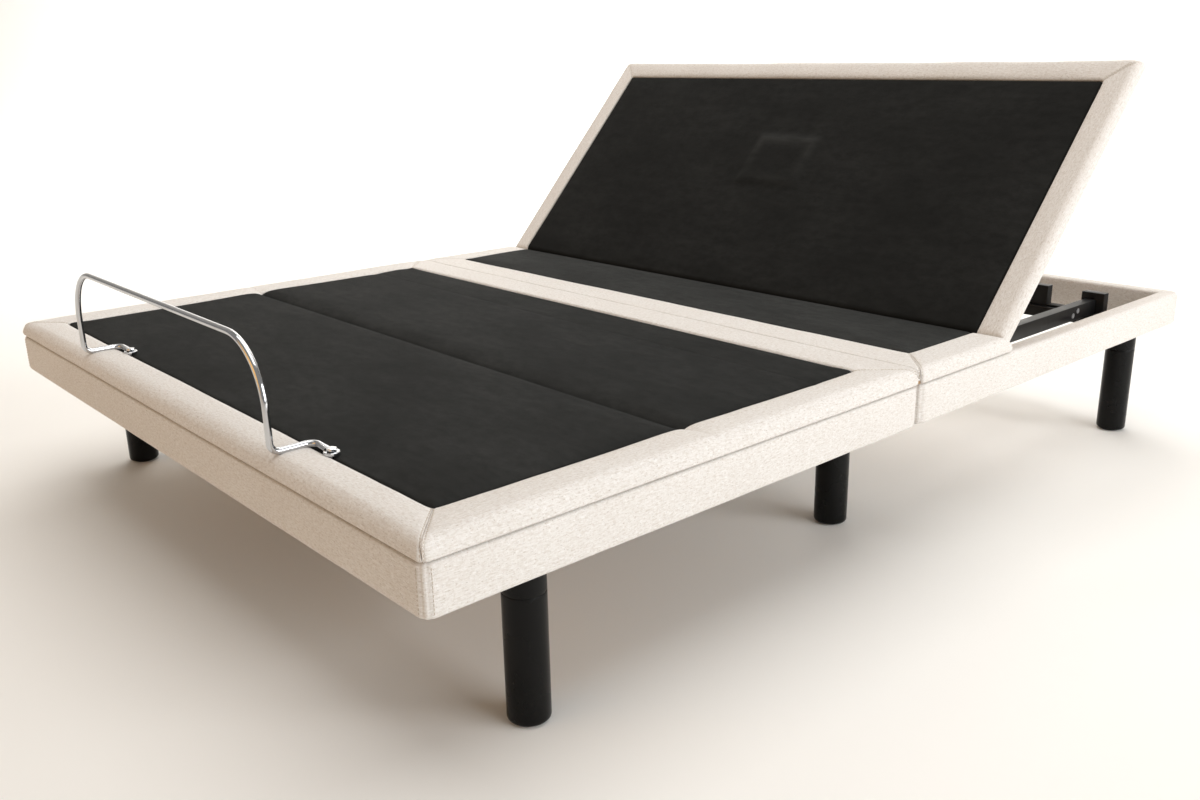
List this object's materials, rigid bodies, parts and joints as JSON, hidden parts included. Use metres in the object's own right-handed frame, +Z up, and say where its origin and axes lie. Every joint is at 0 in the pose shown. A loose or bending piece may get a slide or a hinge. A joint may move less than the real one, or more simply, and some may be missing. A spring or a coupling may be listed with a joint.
{
  "type": "adjustable bed base",
  "caption": "Upholstered adjustable bed base with a hinged powered head section, hinged thigh and foot sections, round legs and a mattress retainer bar.",
  "frame": {"origin": "on the floor under the middle of the base", "axes": "+Y towards the head end, +Z up, +X to the right of someone looking from the foot end to the head end"},
  "size_m": [1.52, 2.03, 0.8192],
  "materials": {
    "linen": "woven heathered upholstery",
    "charcoal_felt": "matt non-slip felt",
    "plywood": "raw",
    "black_steel": "satin powder coat",
    "leg_black": "satin",
    "chrome": "polished",
    "zinc": "zinc plated",
    "nylon": "satin",
    "black_plastic": "fine texture",
    "steel_rod": "ground"
  },
  "bodies": {
    "frame": {"foot_end_rail": "linen", "foot_mid_rail": "linen", "head_mid_rail": "linen", "head_end_rail": "linen", "foot_left_rail": "linen", "foot_right_rail": "linen", "head_left_rail": "linen", "head_right_rail": "linen", "foot_left_tube": "black_steel", "foot_right_tube": "black_steel", "head_left_tube": "black_steel", "head_right_tube": "black_steel", "foot_cross_tube": "black_steel", "head_cross_tube": "black_steel", "left_deck_rest": "black_steel", "right_deck_rest": "black_steel", "foot_left_leg": "leg_black", "foot_right_leg": "leg_black", "middle_left_leg": "leg_black", "middle_right_leg": "leg_black", "head_left_leg": "leg_black", "head_right_leg": "leg_black", "foot_seat_board": "plywood", "foot_seat_pad": "linen", "head_seat_board": "plywood", "head_seat_pad": "linen", "head_hinge": "zinc", "thigh_hinge": "zinc", "head_actuator_bracket": "black_steel", "control_box": "black_plastic", "power_supply": "black_plastic"},
    "head_deck": {"head_board": "plywood", "head_pad": "linen", "head_massage_motor": "black_plastic"},
    "thigh_deck": {"thigh_board": "plywood", "thigh_pad": "linen", "knee_hinge": "zinc"},
    "calf_deck": {"calf_board": "plywood", "calf_pad": "linen", "foot_massage_motor": "black_plastic", "retainer_bar": "chrome", "left_retainer_bolt": "chrome", "right_retainer_bolt": "chrome", "left_calf_glide": "nylon", "right_calf_glide": "nylon"},
    "head_lift": {"head_lift_shaft": "black_steel", "head_left_lift_arm": "black_steel", "head_right_lift_arm": "black_steel"},
    "head_left_roller": {"head_left_roller": "nylon"},
    "head_right_roller": {"head_right_roller": "nylon"},
    "foot_lift": {"foot_lift_shaft": "black_steel", "foot_left_lift_arm": "black_steel", "foot_right_lift_arm": "black_steel"},
    "foot_left_roller": {"foot_left_roller": "nylon"},
    "foot_right_roller": {"foot_right_roller": "nylon"},
    "head_actuator": {"head_actuator_body": "black_plastic"},
    "head_actuator_rod": {"head_actuator_rod": "steel_rod"},
    "foot_actuator": {"foot_actuator_body": "black_plastic"},
    "foot_actuator_rod": {"foot_actuator_rod": "steel_rod"}
  },
  "joints": [
    {"name": "head_tilt", "type": "hinge", "parent": "frame", "child": "head_deck", "pos_m": [0, 0.274, 0.322], "axis": [1, 0, 0], "range_deg": [-47.5, 12.5]},
    {"name": "thigh_tilt", "type": "hinge", "parent": "frame", "child": "thigh_deck", "pos_m": [0, -0.215, 0.322], "axis": [-1, 0, 0], "range_deg": [0, 35]},
    {"name": "knee_bend", "type": "hinge", "parent": "thigh_deck", "child": "calf_deck", "pos_m": [0, -0.516, 0.3069], "axis": [-1, 0, 0], "range_deg": [-56, 0]},
    {"name": "head_lift_turn", "type": "hinge", "parent": "frame", "child": "head_lift", "pos_m": [0, 0.294, 0.26], "axis": [1, 0, 0], "range_deg": [-46, 12.5]},
    {"name": "foot_lift_turn", "type": "hinge", "parent": "frame", "child": "foot_lift", "pos_m": [0, -0.225, 0.26], "axis": [-1, 0, 0], "range_deg": [0, 33.5]},
    {"name": "head_left_roller_spin", "type": "hinge", "parent": "head_lift", "child": "head_left_roller", "pos_m": [-0.4395, 0.50439, 0.51979], "axis": [1, 0, 0], "continuous": true},
    {"name": "head_right_roller_spin", "type": "hinge", "parent": "head_lift", "child": "head_right_roller", "pos_m": [0.4395, 0.50439, 0.51979], "axis": [1, 0, 0], "continuous": true},
    {"name": "foot_left_roller_spin", "type": "hinge", "parent": "foot_lift", "child": "foot_left_roller", "pos_m": [-0.3195, -0.3916, 0.2912], "axis": [1, 0, 0], "continuous": true},
    {"name": "foot_right_roller_spin", "type": "hinge", "parent": "foot_lift", "child": "foot_right_roller", "pos_m": [0.3195, -0.3916, 0.2912], "axis": [1, 0, 0], "continuous": true},
    {"name": "head_actuator_swing", "type": "hinge", "parent": "frame", "child": "head_actuator", "pos_m": [0, 0.038, 0.215], "axis": [1, 0, 0], "range_deg": [-0.6, 0.2]},
    {"name": "head_actuator_extend", "type": "slide", "parent": "head_actuator", "child": "head_actuator_rod", "axis": [0, 0.999, -0.0454], "range_m": [-0.047, 0.013]},
    {"name": "foot_actuator_swing", "type": "hinge", "parent": "frame", "child": "foot_actuator", "pos_m": [0, -0.79, 0.215], "axis": [1, 0, 0], "range_deg": [-0.6, 0]},
    {"name": "foot_actuator_extend", "type": "slide", "parent": "foot_actuator", "child": "foot_actuator_rod", "axis": [0, 0.9986, -0.0537], "range_m": [-0.046, 0]}
  ],
  "couplings": [
    {"joint": "knee_bend", "follows": "thigh_tilt", "ratio": -1.585},
    {"joint": "head_lift_turn", "follows": "head_tilt", "ratio": 0.9608},
    {"joint": "foot_lift_turn", "follows": "thigh_tilt", "ratio": 0.9463},
    {"joint": "head_actuator_swing", "follows": "head_tilt", "ratio": 0.01058},
    {"joint": "head_actuator_extend", "follows": "head_tilt", "m_per_rad": 0.055517},
    {"joint": "foot_actuator_swing", "follows": "thigh_tilt", "ratio": -0.01411},
    {"joint": "foot_actuator_extend", "follows": "thigh_tilt", "m_per_rad": -0.074208}
  ]
}
